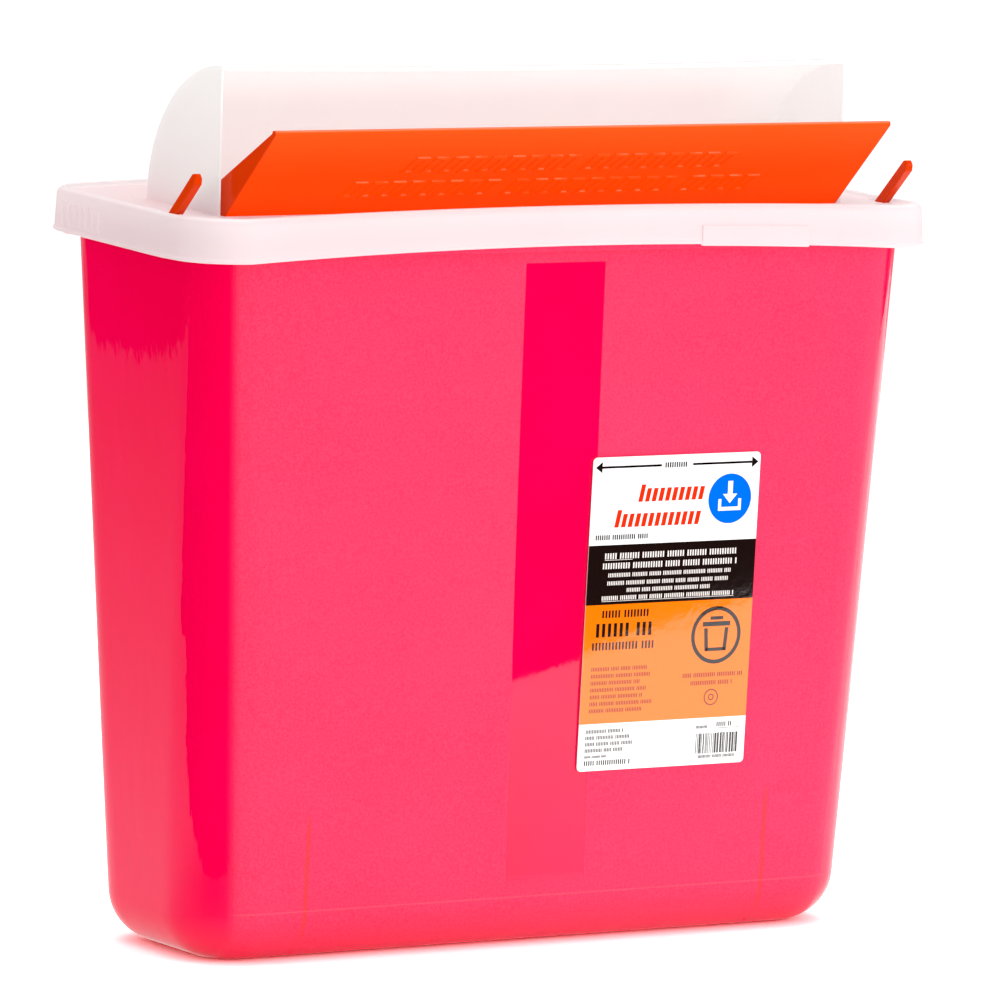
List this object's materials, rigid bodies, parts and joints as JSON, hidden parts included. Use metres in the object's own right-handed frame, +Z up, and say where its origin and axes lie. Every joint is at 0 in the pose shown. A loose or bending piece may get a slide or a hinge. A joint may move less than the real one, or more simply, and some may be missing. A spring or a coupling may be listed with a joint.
{
  "type": "sharps container",
  "caption": "Upright tapered translucent waste tub with a press-fit lid, a quarter-round hood over a letterbox mouth, a swinging tray door and a front label.",
  "frame": {"origin": "on the floor plane, midway between the lid's sides and midway between its front and back skirts", "axes": "+Z up, +X to the container's right across its width, +Y from the door side to the back"},
  "size_m": [0.2732, 0.1147, 0.2819],
  "materials": {
    "tub_plastic": "translucent, fine matte texture on the front and back faces, polished corners, ends and sight strip",
    "lid_plastic": "natural milky translucent, softly polished",
    "door_plastic": "opaque, satin sheen",
    "label_film": "glossy printed adhesive film"
  },
  "bodies": {
    "tub": {"tub": "tub_plastic", "label": "label_film"},
    "lid": {"lid": "lid_plastic"},
    "door": {"door": "door_plastic"}
  },
  "joints": [
    {"name": "lid_lift", "type": "slide", "parent": "tub", "child": "lid", "axis": [0, 0, 1], "range_m": [0, 0.06]},
    {"name": "door_hinge", "type": "hinge", "parent": "lid", "child": "door", "pos_m": [0, -0.0226, 0.2317], "axis": [-1, 0, 0], "range_deg": [0, 43.5]}
  ]
}
